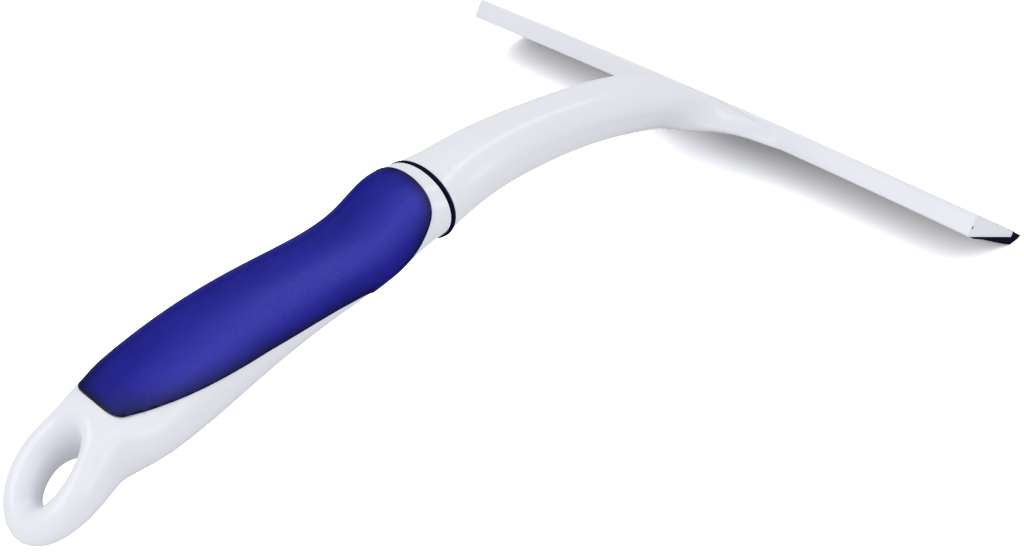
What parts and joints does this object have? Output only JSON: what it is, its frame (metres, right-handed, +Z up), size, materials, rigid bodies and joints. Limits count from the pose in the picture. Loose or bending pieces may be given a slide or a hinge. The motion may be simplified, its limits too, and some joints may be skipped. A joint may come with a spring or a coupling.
{
  "type": "shower squeegee",
  "caption": "Shower squeegee: a wedge-shaped wiper bar with a rubber blade, an arched neck, a handle with a soft grip panel and a hang loop.",
  "frame": {"origin": "centre of the bounding box's bottom face, on the surface that the squeegee lies on", "axes": "+X along the blade, +Y from the hang loop towards the blade, +Z up, as it lies on its blade and its loop"},
  "size_m": [0.23, 0.3192, 0.0556],
  "materials": {
    "white_gloss": "gloss",
    "blue_soft_touch": "satin",
    "navy_rubber": "satin"
  },
  "bodies": {
    "root": {"head": "white_gloss", "blade": "navy_rubber", "handle": "white_gloss", "grip": "blue_soft_touch", "joint_ring": "navy_rubber"}
  },
  "joints": []
}
